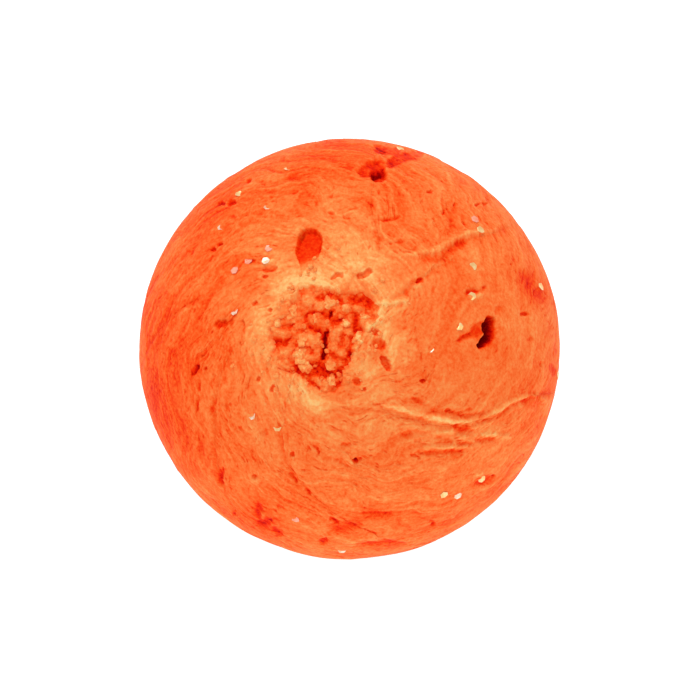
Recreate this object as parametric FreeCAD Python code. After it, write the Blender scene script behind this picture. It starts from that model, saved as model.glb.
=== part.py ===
"""Hand-kneaded ball of soft orange bait paste, with glitter, set down on a table.

The paste is gathered from behind over a crumbly lump and closed on the upper front side. Six folds
meet there around an open crater, which is full of crumbs that never smeared together. The folds run
back to one smooth skin, which wraps the far side and is pressed flat where the ball stands.

Frame: millimetres, +Z up. The origin is the middle of the flat foot, on the table. The crater looks
forwards (-Y) and up, and a little to the left (-X).
A place on the ball is given by two angles. Polar is measured from the crater's axis, and clock turns
about that axis, anticlockwise from 3 o'clock for someone who looks into the crater.
"""
import FreeCAD
import Part
import math
import os

from BOPTools import SplitAPI

V = FreeCAD.Vector

# Overall sizes
ball_radius = 20.0
foot_radius = 5.0
fold_thickness = 4.0
fold_step = 0.25          # a fold that tucks under its neighbours stands this much lower

# Where the crater looks
crater_elevation = 48.0
crater_swing = 10.0       # towards -X

# Crater and the crumbs in it
crater_radius = 5.6
crater_depth = 4.6
crumb_bed_drop = 0.37 * crater_depth       # how far the bed of crumbs lies below the ball's surface
large_crumb_count = 16
large_crumb_radius = 0.24 * crater_radius
large_crumb_rise = 0.11 * large_crumb_radius   # how far its middle stands over the bed
small_crumb_count = 26
small_crumb_radius = 0.44 * large_crumb_radius
small_crumb_rise = 0.85 * large_crumb_radius
rim_crumb_radius = 0.34
pit_crumb_radius = 0.36

# The smooth skin on the far side
skin_half_angle = 62.0

# Seams between the folds, as (polar, clock) from the crater out to the smooth skin. Each seam is
# named for the fold that lies clockwise of it.
seam_after = {
    "lower_fold": [(8, -78), (18, -68), (24, -51), (38, -34), (52, -21), (66, -10), (90, -5), (124, 2)],
    "right_fold": [(8, 38), (18, 38), (29, 39), (42, 44), (64, 43), (90, 44), (124, 48)],
    "upper_right_fold": [(8, 76), (17, 73), (28, 67), (37, 77), (50, 83), (72, 90), (95, 102), (124, 118)],
    "upper_left_fold": [(8, 130), (17, 135), (27, 142), (32, 156), (44, 172), (62, 186), (90, 197), (124, 207)],
    "left_fold": [(8, 176), (17, 181), (25, 190), (34, 209), (47, 227), (64, 241), (90, 251), (124, 260)],
    "lower_left_fold": [(8, 238), (18, 244), (27, 250), (37, 258), (50, 273), (66, 287), (90, 299), (124, 308)],
}
tucked_folds = ("right_fold", "upper_left_fold", "lower_left_fold")

# Pits, as (polar, clock, radius, depth) of round-ended holes that run into each other
right_pit = [(48.0, 13.5, 0.75, 2.2), (46.8, 10.0, 0.90, 2.7), (45.0, 5.5, 0.70, 2.1), (42.6, 8.5, 0.80, 1.0)]
top_pit = [(57.0, 86.0, 0.90, 1.5), (55.2, 82.8, 0.75, 2.2)]
gouges = [(68.5, 80.5, 0.75, 0.9), (72.0, 77.0, 0.85, 0.8), (76.5, 80.0, 0.80, 0.9), (80.0, 76.5, 0.70, 0.8)]
small_pits = [
    (30.0, 178.5, 0.60, 1.2), (30.3, 40.5, 0.45, 0.9), (27.5, 140.0, 0.35, 0.6),
    (61.2, 63.4, 0.35, 0.8), (55.8, -31.5, 0.45, 0.6), (41.2, 197.5, 0.40, 0.6),
    (108.0, -70.0, 0.70, 1.4), (98.0, 150.0, 0.55, 1.1), (102.0, 20.0, 0.60, 1.2), (92.0, 228.0, 0.45, 0.9),
]
skin_pits = [(142.0, 60.0, 0.80, 1.6), (150.0, 170.0, 0.55, 1.0), (136.0, 300.0, 0.50, 0.9)]

# The dent that a stick left: it enters over the crater and rises to the surface beside it
dent_deep_end = (29.5, 107.5, 1.25)      # polar, clock, radius of the stick
dent_shallow_end = (19.0, 113.0, 0.95)
dent_depth = 2.6

# Glitter: six-sided flakes of film
flake_across_flats = 0.6
flake_thickness = 0.06
flake_proud = 0.02        # how far the middle of a flake stands out of the paste
# Flakes as (polar, clock, tilt, spin): tilt lifts one side out of the paste, spin turns the flake
gold_flakes = [
    (58.8, 45.1, 12, 20), (77.9, 23.9, 18, 5), (61.4, -47.5, 6, 40), (48.3, 35.0, 35, 80), (37.9, 12.5, 38, 30),
    (57.5, 130.7, 30, 10), (68.5, -36.2, 16, 25), (59.1, 113.3, 30, 70), (29.1, -112.2, 35, 15),
    (77.4, 81.5, 12, 50), (43.8, 24.3, 40, 55),
]
silver_flakes = [
    (27.8, 136.2, 25, 0), (44.7, 123.4, 28, 35), (27.2, 171.5, 30, 60), (49.7, 142.1, 25, 15), (30.9, -127.4, 30, 45),
    (66.2, -44.6, 20, 10), (76.6, -83.1, 45, 0), (29.4, 1.0, 40, 20),
]
pink_flakes = [
    (30.9, 131.0, 10, 5), (32.3, 143.4, 14, 30), (33.6, 151.4, 8, 50), (60.8, 49.0, 10, 15), (59.1, -95.8, 10, 35),
]
far_flake_count = 24      # spread evenly over the side that faces away from the crater
far_flake_first_polar = 92.0
far_flake_last_polar = 168.0

golden_angle = 180.0 * (3.0 - math.sqrt(5.0))
overshoot = 1.5           # how far a cutting tool reaches past what it cuts

# Worked-out sizes
core_radius = ball_radius - fold_thickness
centre = V(0, 0, math.sqrt(ball_radius ** 2 - foot_radius ** 2))
elevation = math.radians(crater_elevation)
swing = math.radians(crater_swing)
crater_axis = V(
    -math.sin(swing) * math.cos(elevation), -math.cos(swing) * math.cos(elevation), math.sin(elevation)
)
three_o_clock = V(0, 0, 1).cross(crater_axis).normalize()
twelve_o_clock = crater_axis.cross(three_o_clock)
bed_radius = ball_radius - crumb_bed_drop


def direction(polar, clock):
    """The outward direction at these two angles, in degrees."""
    p = math.radians(polar)
    c = math.radians(clock)
    across = three_o_clock * math.cos(c) + twelve_o_clock * math.sin(c)
    return crater_axis * math.cos(p) + across * math.sin(p)


def place(polar, clock, radius):
    """The point at these two angles and this distance from the ball's centre."""
    return centre + direction(polar, clock) * radius


def ball(radius):
    """A ball about the ball's own centre."""
    return Part.makeSphere(radius, centre)


def crater_tool():
    """The round bowl of the crater: it has the crater's radius at the surface and its depth on the axis."""
    rim_height = math.sqrt(ball_radius ** 2 - crater_radius ** 2)
    floor_height = ball_radius - crater_depth
    depth_below_rim = rim_height - floor_height
    bowl_radius = (crater_radius ** 2 + depth_below_rim ** 2) / (2 * depth_below_rim)
    return Part.makeSphere(bowl_radius, centre + crater_axis * (floor_height + bowl_radius))


def skin_tool():
    """A wide cone about the far side, from the ball's centre out."""
    height = ball_radius + overshoot
    width = height * math.tan(math.radians(skin_half_angle))
    return Part.makeCone(0, width, height, centre, crater_axis * -1)


def table_tool():
    """Everything under the table's top."""
    side = 4 * ball_radius
    return Part.makeBox(side, side, ball_radius, V(-side / 2, -side / 2, -ball_radius))


def seam_face(points):
    """The wall between two folds: straight lines out from the centre, along a smooth seam."""
    def edge(radius):
        curve = Part.BSplineCurve()
        curve.interpolate([place(polar, clock, radius) for polar, clock in points])
        return curve.toShape()
    return Part.makeRuledSurface(edge(core_radius - overshoot), edge(ball_radius + overshoot))


def hole(polar, clock, radius, depth):
    """A round-ended hole, straight in from the surface."""
    bottom = place(polar, clock, ball_radius - depth + radius)
    shaft = Part.makeCylinder(radius, depth - radius + overshoot, bottom, direction(polar, clock))
    return shaft.fuse(Part.makeSphere(radius, bottom))


def dent_tool():
    """The stick's path: a tapered rod with round ends, deep at one end and out of the paste at the other."""
    deep_polar, deep_clock, deep_radius = dent_deep_end
    out_polar, out_clock, out_radius = dent_shallow_end
    deep = place(deep_polar, deep_clock, ball_radius - dent_depth + deep_radius)
    out = place(out_polar, out_clock, ball_radius + out_radius / 2)
    rod = Part.makeCone(deep_radius, out_radius, deep.distanceToPoint(out), deep, out - deep)
    ends = [Part.makeSphere(deep_radius, deep), Part.makeSphere(out_radius, out)]
    mouth = Part.makeCylinder(
        deep_radius, dent_depth + overshoot, deep, direction(deep_polar, deep_clock)
    )
    return rod.fuse(ends + [mouth])


def flake(polar, clock, tilt, spin):
    """One six-sided flake, lying in the surface and tilted about its own middle."""
    corner_radius = flake_across_flats / math.sqrt(3)
    corners = [
        V(corner_radius * math.cos(math.radians(60 * i)), corner_radius * math.sin(math.radians(60 * i)),
          -flake_thickness / 2)
        for i in range(6)
    ]
    outline = Part.makePolygon(corners + corners[:1])
    film = Part.Face(outline).extrude(V(0, 0, flake_thickness))
    film.rotate(V(0, 0, 0), V(0, 0, 1), spin)
    film.rotate(V(0, 0, 0), V(1, 0, 0), tilt)
    turn = FreeCAD.Rotation(V(0, 0, 1), direction(polar, clock))
    film.Placement = FreeCAD.Placement(place(polar, clock, ball_radius + flake_proud), turn).multiply(
        film.Placement
    )
    return film


def far_flakes(first):
    """Every third flake of an even spiral over the far side, starting at this one."""
    found = []
    span = far_flake_last_polar - far_flake_first_polar
    for i in range(first, far_flake_count, 3):
        polar = far_flake_first_polar + span * (i + 0.5) / far_flake_count
        found.append((polar, golden_angle * i, 10 + 7 * (i % 4), 25 * i))
    return found


def clear_of_foot(polar, clock):
    """True where the paste isn't pressed on the table."""
    return place(polar, clock, ball_radius).z > flake_across_flats


def spiral(count, widest_polar, turn):
    """Places spread evenly over the crater, in a sunflower's pattern."""
    return [(widest_polar * math.sqrt((i + 0.5) / count), golden_angle * i + turn) for i in range(count)]


def biggest_solid(shape):
    """The main body of a cut piece."""
    return max(shape.Solids, key=lambda solid: solid.Volume)


def crumb_ball(middle, radius):
    """One crumb as a ball, with its poles on the crater's axis, where no neighbour flattens it."""
    return Part.makeSphere(radius, middle, crater_axis)


def pressed_together(balls):
    """Crumbs from (middle, radius) pairs: two that would overlap are both flat on the plane between them.

    That plane holds the circle in which the two ball surfaces meet.
    """
    crumbs = []
    for i, (middle, radius) in enumerate(balls):
        crumb = crumb_ball(middle, radius)
        for j, (other_middle, other_radius) in enumerate(balls):
            way = other_middle - middle
            distance = way.Length
            if i == j or distance >= radius + other_radius:
                continue
            reach = (distance ** 2 + radius ** 2 - other_radius ** 2) / (2 * distance)
            way.normalize()
            crumb = crumb.cut(Part.makeCylinder(3 * radius, 3 * radius, middle + way * reach, way))
        crumbs.append(crumb)
    return crumbs


def crater_balls(count, radius, rise, spread, turn):
    """Balls of one size as (middle, radius), spread over the crater with their middles this much over the bed."""
    widest = spread * math.degrees(math.asin(crater_radius / ball_radius))
    return [
        (place(polar, clock, bed_radius + rise), radius * (1 - 0.12 * (i % 3)))
        for i, (polar, clock) in enumerate(spiral(count, widest, turn))
    ]


def resting_on(crumbs, others):
    """Each crumb, hollowed where it sits on the others."""
    rested = []
    for crumb in crumbs:
        near = [other for other in others if other.BoundBox.intersect(crumb.BoundBox)]
        rested.append(biggest_solid(crumb.cut(near)))
    return rested


def rim_crumbs():
    """Single crumbs stuck on the folds, in a loose ring just outside the crater."""
    rim = math.degrees(math.asin(crater_radius / ball_radius))
    return [
        crumb_ball(place(rim + 1.6 + 1.1 * (i % 3), 24 * i - 60 + 5 * (i % 2), ball_radius),
                   rim_crumb_radius * (1 - 0.2 * (i % 3)))
        for i in range(13)
    ]


def pit_crumbs(pit):
    """Crumbs at the bottom of a pit, one in each of its holes, half sunk in the paste."""
    return pressed_together([
        (place(polar, clock, ball_radius - depth + 0.3 * pit_crumb_radius), pit_crumb_radius)
        for polar, clock, _, depth in pit
    ])


def split_folds(ring):
    """The ring of paste, cut along its seams: fold name to solid. A fold ends at its own seam."""
    cut = SplitAPI.slice(ring, [seam_face(points) for points in seam_after.values()], "Split")
    names = list(seam_after)
    folds = {}
    for i, name in enumerate(names):
        ends = seam_after[name][-2]
        starts = seam_after[names[i - 1]][-2]
        width = (ends[1] - starts[1]) % 360
        probe = place(ends[0], ends[1] - width / 2, ball_radius - fold_thickness / 2)
        folds[name] = next(solid for solid in cut.Solids if solid.isInside(probe, 1e-6, False))
    return folds


def export(node, solids):
    """Writes one node, checking each of its solids first."""
    for solid in solids:
        if not solid.isValid() or solid.Volume <= 0:
            raise ValueError(node + " has a bad solid")
    shape = solids[0] if len(solids) == 1 else Part.makeCompound(solids)
    shape.exportStep("parts/" + node + ".step")
    print(node, len(solids), "solids,", round(sum(solid.Volume for solid in solids), 3), "mm3")


# The lump of paste, less what is pressed flat on the table
crater = crater_tool()
far_cone = skin_tool()
standing_ball = ball(ball_radius).cut(table_tool())
shell = standing_ball.cut(ball(core_radius))

# Crumbs and glitter come first, because the paste is shaped round them
large_balls = crater_balls(large_crumb_count, large_crumb_radius, large_crumb_rise, 0.82, 20)
small_balls = crater_balls(small_crumb_count, small_crumb_radius, small_crumb_rise, 0.90, 75)
large_crumbs = [crumb.common(crater) for crumb in pressed_together(large_balls)]
small_crumbs = resting_on([crumb.common(crater) for crumb in pressed_together(small_balls)], large_crumbs)
loose_rim_crumbs = rim_crumbs()
right_pit_crumbs = pit_crumbs(right_pit)
top_pit_crumbs = pit_crumbs(top_pit)
flakes = {
    "gold_flakes": gold_flakes + far_flakes(0),
    "silver_flakes": silver_flakes + far_flakes(1),
    "pink_flakes": pink_flakes + far_flakes(2),
}
films = {
    node: [flake(*spot) for spot in spots if clear_of_foot(spot[0], spot[1])] for node, spots in flakes.items()
}
all_films = [film for group in films.values() for film in group]
sunk_crumbs = loose_rim_crumbs + right_pit_crumbs + top_pit_crumbs

# Core and crumb bed
core = ball(core_radius).cut(crater)
bed = crater.common(ball(bed_radius)).cut([Part.makeSphere(radius, middle) for middle, radius in large_balls])

# Folds and the smooth skin
holes = [hole(*spot) for spot in right_pit + top_pit + gouges + small_pits] + [dent_tool()]
folds = split_folds(shell.cut([crater, far_cone]))
pieces = {}
for name, fold in folds.items():
    radius = ball_radius - fold_step if name in tucked_folds else ball_radius
    pieces[name] = fold.common(ball(radius)).cut(holes).cut(sunk_crumbs + all_films)
skin = shell.common(far_cone).cut([hole(*spot) for spot in skin_pits]).cut(all_films)

os.makedirs("parts", exist_ok=True)
export("inner_core", [core])
export("crumb_bed", [biggest_solid(bed)])
export("underside_skin", [biggest_solid(skin)])
for name, piece in pieces.items():
    export(name, [biggest_solid(piece)])
export("large_crumbs", large_crumbs)
export("small_crumbs", small_crumbs)
export("rim_crumbs", loose_rim_crumbs)
export("right_pit_crumbs", right_pit_crumbs)
export("top_pit_crumbs", top_pit_crumbs)
for node, group in films.items():
    export(node, group)
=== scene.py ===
"""Looks of a hand-kneaded ball of soft orange bait paste with glitter in it, standing on a table.

The ball is put together from the middle outwards: core, crumbs in the open crater, six folds that
are gathered round the crater, the smooth skin of the far side, and the glitter pressed into them.

Lengths are in millimetres until a mesh is made, which turns them to metres.
A direction from the ball's middle is given in one of two ways. Polar and clock are angles in degrees
about the crater's axis, as in the CAD part: polar is measured from the axis, and clock turns
anticlockwise from 3 o'clock for someone who looks into the crater. Across and up are millimetres on
the ball's front, for someone who looks down at it by 45 degrees and sees it as a flat disc.
"""

import math

import bpy
import numpy as np
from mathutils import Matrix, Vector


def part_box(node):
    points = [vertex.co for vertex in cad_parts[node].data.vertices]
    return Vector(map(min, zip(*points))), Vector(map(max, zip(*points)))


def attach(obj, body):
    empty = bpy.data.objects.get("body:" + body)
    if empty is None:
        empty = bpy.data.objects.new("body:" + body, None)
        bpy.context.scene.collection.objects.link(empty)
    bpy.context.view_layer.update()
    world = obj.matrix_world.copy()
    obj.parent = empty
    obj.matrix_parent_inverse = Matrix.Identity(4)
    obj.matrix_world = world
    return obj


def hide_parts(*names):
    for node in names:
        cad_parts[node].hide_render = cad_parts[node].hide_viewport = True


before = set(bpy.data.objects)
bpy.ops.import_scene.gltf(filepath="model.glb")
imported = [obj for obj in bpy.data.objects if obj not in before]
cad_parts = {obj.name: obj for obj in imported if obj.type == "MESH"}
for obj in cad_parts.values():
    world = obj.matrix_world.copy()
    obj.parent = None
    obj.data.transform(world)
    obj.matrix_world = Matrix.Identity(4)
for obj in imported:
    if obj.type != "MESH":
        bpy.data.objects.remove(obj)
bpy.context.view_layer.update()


# Core: the lump of bait paste that the folds are wrapped round, squeezed by hand until it held.
# It is the same paste, coarser and full of crumbs. It is the CAD node itself, with its own finish.
mm = 0.001
core_low, core_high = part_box("inner_core")
middle = np.array((core_low + core_high) / 2) / mm
core_radius = (core_high.x - core_low.x) / 2 / mm
fold_thickness = 4.0
ball_radius = core_radius + fold_thickness
foot_height = 0.0

# Tones of the paste from the deepest shade in a crack to the palest smear, as position and colour
paste_tones = [
    (0.00, "9c0200"), (0.12, "d40f00"), (0.24, "f02800"), (0.36, "f8440b"), (0.47, "fb5e1f"),
    (0.56, "fd7131"), (0.66, "fe803e"), (0.75, "fe914c"), (0.84, "fea35b"), (0.92, "feb36a"),
    (1.00, "fec47b"),
]


def linear(colour):
    """An sRGB hex colour as linear red, green, blue and full alpha."""
    parts = np.array([int(colour[i:i + 2], 16) for i in (0, 2, 4)]) / 255
    curve = np.where(parts <= 0.04045, parts / 12.92, ((parts + 0.055) / 1.055) ** 2.4)
    return (*curve, 1.0)


def add(tree, kind, settings=None, inputs=None):
    """Adds one node: settings are its own properties, inputs are values or the sockets that feed it."""
    made = tree.nodes.new("ShaderNode" + kind)
    for name, value in (settings or {}).items():
        setattr(made, name, value)
    for name, value in (inputs or {}).items():
        if isinstance(value, bpy.types.NodeSocket):
            tree.links.new(value, made.inputs[name])
        else:
            made.inputs[name].default_value = value
    return made


def ramp(tree, factor, stops):
    """A colour ramp with these stops, as position and hex colour, in place of its own two."""
    made = add(tree, "ValToRGB", inputs={"Fac": factor})
    while len(made.color_ramp.elements) < len(stops):
        made.color_ramp.elements.new(0.5)
    for element, (position, colour) in zip(made.color_ramp.elements, stops):
        element.position = position
        element.color = linear(colour)
    return made


def paste_material(name, mottle, mottle_size, grain_size, grain_height, roughness, even_tone=None):
    """Soft paste of flour, oil and dye: saturated, a little see-through at the surface, and almost matt.

    The tone is even, or comes from the mesh's own tone attribute, which knows where a crack or a smear
    is. A mottle of this strength and size in millimetres is added. The grain is the flour, a fine bump.
    """
    material = bpy.data.materials.new(name)
    material.use_nodes = True
    tree = material.node_tree
    shader = tree.nodes["Principled BSDF"]
    place = add(tree, "TexCoord").outputs["Object"]
    tone = even_tone
    if tone is None:
        tone = add(tree, "Attribute", {"attribute_name": "tone"}).outputs["Fac"]
    blotch = add(tree, "TexNoise", inputs={
        "Vector": place, "Scale": 1 / (mottle_size * mm), "Detail": 3.0, "Roughness": 0.62,
    }).outputs["Fac"]
    shift = add(tree, "MapRange", inputs={
        "Value": blotch, "From Min": 0.3, "From Max": 0.7, "To Min": -mottle, "To Max": mottle,
    }).outputs["Result"]
    total = add(tree, "Math", {"operation": "ADD", "use_clamp": True}, {0: tone, 1: shift}).outputs["Value"]
    colour = ramp(tree, total, paste_tones).outputs["Color"]
    tree.links.new(colour, shader.inputs["Base Color"])
    grain = add(tree, "TexNoise", inputs={
        "Vector": place, "Scale": 1 / (grain_size * mm), "Detail": 4.0, "Roughness": 0.6,
    }).outputs["Fac"]
    bump = add(tree, "Bump", inputs={"Height": grain, "Distance": grain_height * mm, "Strength": 1.0})
    tree.links.new(bump.outputs["Normal"], shader.inputs["Normal"])
    shader.inputs["Roughness"].default_value = roughness
    shader.inputs["IOR"].default_value = 1.45
    shader.inputs["Specular IOR Level"].default_value = 0.02
    shader.inputs["Subsurface Weight"].default_value = 0.08
    shader.inputs["Subsurface Radius"].default_value = (1.0, 0.30, 0.12)
    shader.inputs["Subsurface Scale"].default_value = 0.3 * mm
    return material


# Squeezed paste that nobody sees: one shade, coarse grain
packed_paste = paste_material("packed_bait_paste", 0.12, 0.70, 0.20, 0.030, 0.62, 0.50)
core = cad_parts["inner_core"]
core.data.materials.clear()
core.data.materials.append(packed_paste)


# Crumb bed: the crumbly floor of the crater, where the paste was torn and never closed over.
# It is one mass of nodules stuck to each other, like a cauliflower, with slits down to the core.
crater_elevation = 48.0
crater_swing = 10.0
elevation, swing = math.radians(crater_elevation), math.radians(crater_swing)
crater_axis = np.array([
    -math.sin(swing) * math.cos(elevation), -math.cos(swing) * math.cos(elevation), math.sin(elevation),
])
three_o_clock = np.cross([0.0, 0.0, 1.0], crater_axis)
three_o_clock /= np.linalg.norm(three_o_clock)
twelve_o_clock = np.cross(crater_axis, three_o_clock)
slant = math.sqrt(0.5)    # the sine and the cosine of 45 degrees
front = np.array([0.0, -slant, slant])
front_up = np.array([0.0, slant, slant])


def direction(polar, clock):
    """Outward directions at these angles: the crater's axis leaned over by polar, towards clock."""
    p, c = np.radians(polar), np.radians(clock)
    lean = np.cos(c)[..., None] * three_o_clock + np.sin(c)[..., None] * twelve_o_clock
    return np.cos(p)[..., None] * crater_axis + np.sin(p)[..., None] * lean


def front_direction(across, up):
    """Directions to places on the front disc: across to the right, up, and the rest straight out."""
    across, up = np.asarray(across, float) / ball_radius, np.asarray(up, float) / ball_radius
    out = np.sqrt(np.clip(1 - across ** 2 - up ** 2, 0, 1))
    return across[..., None] * np.array([1.0, 0, 0]) + up[..., None] * front_up + out[..., None] * front


def noise(points, seed):
    """Gradient noise from about -1 to 1 with features about one unit wide.

    Each corner of the unit cube round a point has a slope picked by hashing its whole-number place.
    The slopes' heights at the point are blended with weights 6t^5 - 15t^4 + 10t^3 along each axis.
    """
    slopes = np.random.default_rng(seed).normal(size=(256, 3))
    slopes /= np.linalg.norm(slopes, axis=1, keepdims=True)
    base = np.floor(points).astype(np.int64)
    inside = points - base
    blend = inside ** 3 * (inside * (inside * 6 - 15) + 10)
    total = np.zeros(points.shape[:-1])
    for corner in np.ndindex(2, 2, 2):
        spot = base + corner
        key = spot[..., 0] * 73856093 ^ spot[..., 1] * 19349663 ^ spot[..., 2] * 83492791
        slope = slopes[(key ^ (key >> 9)) & 255]
        weight = np.prod(np.where(corner, blend, 1 - blend), axis=-1)
        total += weight * np.sum(slope * (inside - corner), axis=-1)
    return 1.6 * total


def nodules(points, size, seed):
    """Domes packed side by side, from 0 in the creases to 1 on top, about this wide.

    Every cube of the grid holds one random seed. The dome is sqrt(1 - d^2), where d is the distance
    to the nearest seed as a share of the cube's width.
    """
    shifts = np.random.default_rng(seed).random((512, 3))
    scaled = points / size
    base = np.floor(scaled).astype(np.int64)
    nearest = np.full(points.shape[:-1], 9.0)
    for corner in np.ndindex(3, 3, 3):
        spot = base + corner - 1
        key = spot[..., 0] * 73856093 ^ spot[..., 1] * 19349663 ^ spot[..., 2] * 83492791
        seeds = spot + shifts[(key ^ (key >> 7)) & 511]
        nearest = np.minimum(nearest, np.sum((seeds - scaled) ** 2, axis=-1))
    return np.sqrt(np.clip(1 - nearest, 0, 1))


def cauliflower(points, seed):
    """Nodules on nodules on nodules: three sizes of domes added up, each finer one about half as high."""
    return (0.34 * nodules(points, 0.85, seed) + 0.22 * nodules(points, 0.42, seed + 1)
            + 0.14 * nodules(points, 0.22, seed + 2))


usual_nodule = 0.42       # the cauliflower's height at most places


def add_piece(name, points, faces, material, smooth=True, **attributes):
    """Makes an object of these points, in millimetres, and faces; each attribute has a number per point."""
    mesh = bpy.data.meshes.new(name)
    mesh.from_pydata((points * mm).tolist(), [], faces)
    mesh.polygons.foreach_set("use_smooth", np.broadcast_to(smooth, len(faces)).astype(bool))
    for key, values in attributes.items():
        mesh.attributes.new(key, "FLOAT", "POINT").data.foreach_set("value", np.asarray(values, np.float32))
    mesh.materials.append(material)
    made = bpy.data.objects.new(name, mesh)
    bpy.context.scene.collection.objects.link(made)
    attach(made, "root")
    return made


def grid_faces(rows, columns, closed):
    """Quads between the points of a grid stored row by row; a closed one joins its last and first column."""
    last = columns if closed else columns - 1
    row, column = np.meshgrid(np.arange(rows - 1), np.arange(last), indexing="ij")
    after = (column + 1) % columns
    corners = [row * columns + column, row * columns + after,
               (row + 1) * columns + after, (row + 1) * columns + column]
    return np.stack(corners, axis=-1).reshape(-1, 4).tolist()


def standing(points):
    """Points of the ball, with what would be under the table's top pressed up to it along its own radius."""
    out = points - middle
    drop = np.where(out[..., 2] < 0, -out[..., 2], 1e-9)
    share = np.minimum(1.0, (middle[2] - foot_height) / drop)
    return middle + out * share[..., None]


# The crater's torn outline, as clock and distance from the crater's axis
crater_outline = [
    (0, 3.3), (8, 3.6), (20, 4.3), (28, 5.7), (36, 6.1), (46, 6.0), (57, 5.6), (68, 5.1), (80, 4.6),
    (97, 4.8), (122, 5.4), (140, 4.9), (156, 4.7), (180, 5.6), (192, 5.5), (211, 5.2), (221, 5.6),
    (243, 4.9), (260, 5.2), (283, 5.7), (295, 5.2), (304, 4.2), (324, 3.9), (345, 3.2),
]
bed_drop = 0.34           # how far the crater's floor lies below the ball's surface
bed_reach = 7.2           # how far the bed runs out, under the folds
# Lumps of the bed as across, up, radius and how far their tops lie below the ball's surface
bed_lumps = [
    (-3.4, 0.9, 0.70, 0.15), (-3.8, -0.9, 0.45, 0.20), (-2.9, 4.3, 0.55, 0.10), (-3.9, 4.7, 0.65, 0.02),
    (-1.1, 1.8, 0.55, 0.20), (-1.5, 1.1, 0.50, 0.25), (-6.2, 1.6, 0.55, 0.10), (-7.0, 1.7, 0.45, 0.10),
    (-0.8, -0.3, 0.50, 0.25), (-2.4, -3.4, 0.45, 0.12), (-6.2, -1.4, 0.60, 0.12), (-5.9, -0.5, 0.70, 0.10),
    (0.7, -0.2, 0.45, 0.15), (-3.1, -2.9, 0.50, 0.25), (-1.2, 5.9, 0.55, 0.02), (-5.2, 5.2, 0.70, 0.00),
    (-1.6, 0.1, 0.50, 0.25), (1.7, 2.2, 0.70, 0.00), (0.7, 4.0, 0.50, 0.20), (-0.1, 1.6, 0.45, 0.20),
]
# Slits and hollows of the bed: half width, depth, then points as across and up
bed_slits = [
    (0.26, 1.50, (-2.3, 1.5), (-2.35, 0.6), (-2.5, -0.3), (-2.5, -0.8)),
    (0.34, 0.85, (-3.9, 2.2), (-3.2, 1.8), (-2.5, 1.5)),
    (0.27, 0.85, (-4.2, 2.9), (-4.0, 3.4), (-3.3, 3.5), (-2.6, 3.4)),
    (0.28, 1.20, (-1.9, 3.1), (-1.7, 3.4)), (0.38, 0.70, (-2.1, 3.0), (-1.4, 2.7), (-0.7, 3.0)),
    (0.34, 0.80, (-2.7, 4.8), (-2.2, 5.1), (-1.8, 5.5)), (0.30, 0.65, (-0.9, 4.9), (-0.7, 4.3)),
    (0.45, 0.75, (-0.4, 5.8), (0.3, 5.5), (0.8, 4.9)),
    (0.52, 0.90, (0.4, 4.7), (1.2, 4.5), (1.7, 4.9), (1.9, 4.4)), (0.24, 0.45, (2.6, 4.6), (3.2, 4.3)),
    (0.30, 0.45, (1.6, 4.1), (1.7, 3.5)), (0.42, 0.85, (0.5, 3.1), (0.6, 2.4), (0.7, 1.8)),
    (0.30, 0.50, (-0.7, 1.2), (-0.9, 0.4)), (0.30, 0.60, (0.1, 1.2), (0.2, 0.7), (0.0, 0.1)),
    (0.38, 1.25, (0.0, -0.4), (0.4, -0.9), (0.1, -1.6), (-0.2, -1.7)),
    (0.34, 0.70, (-1.5, -0.5), (-0.8, -0.9), (-0.3, -1.3)),
    (0.42, 1.00, (-3.7, -1.6), (-2.9, -1.9), (-2.3, -1.9), (-1.7, -2.3), (-1.1, -2.1)),
    (0.40, 0.90, (-1.0, -2.1), (-0.5, -2.5), (-0.5, -3.1)), (0.36, 1.00, (-2.3, -1.7), (-2.4, -2.6)),
    (0.38, 0.75, (-5.3, -1.7), (-4.9, -2.2), (-4.2, -2.5), (-3.3, -2.3)),
    (0.24, 0.60, (-6.2, -2.3), (-5.6, -2.6), (-4.9, -3.0)),
    (0.32, 0.65, (-0.7, -3.2), (-1.2, -3.6), (-1.0, -4.1), (-0.5, -4.1)),
    (0.24, 0.50, (-3.8, -3.1), (-3.3, -3.4), (-3.1, -3.8)),
    (0.32, 0.80, (-7.6, 0.7), (-6.9, 0.6), (-6.4, 0.5), (-5.8, 1.1)),
    (0.24, 0.55, (-7.3, 0.1), (-6.7, 0.2)), (0.22, 0.60, (-6.4, 2.1), (-5.9, 2.1), (-5.5, 2.5)),
    (0.20, 0.45, (-6.6, 3.0), (-6.4, 3.1)), (0.24, 0.75, (-4.9, 0.6), (-4.5, 0.2)),
    (0.20, 0.50, (-4.9, 1.7), (-4.4, 1.6)), (0.42, 0.45, (-5.3, -0.3), (-5.6, -1.0), (-5.3, -1.5)),
    (0.28, 0.35, (-4.7, 5.5), (-4.5, 4.9)), (0.20, 0.50, (-3.7, -0.2), (-3.9, 0.2)),
    (0.28, 0.70, (-3.4, -1.2), (-2.9, -1.4)), (0.24, 0.45, (0.8, 5.9), (1.2, 5.6), (2.0, 5.2)),
    (0.18, 0.90, (-1.6, -2.2), (-1.3, -2.5)), (0.20, 0.35, (-5.6, 4.3), (-5.4, 4.4)),
]


def outline_distance(clock):
    """How far the crater reaches at each clock: straight between the outline's points, plus ragged noise."""
    clocks, reaches = np.array(crater_outline, float).T
    reach = np.interp(np.mod(clock, 360), np.append(clocks, 360), np.append(reaches, reaches[0]))
    ring = np.stack([np.cos(np.radians(clock)), np.sin(np.radians(clock)), np.zeros_like(clock)], axis=-1)
    return reach + 0.16 * noise(ring * 3.1, 11) + 0.26 * noise(ring * 8.3, 12)


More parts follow.
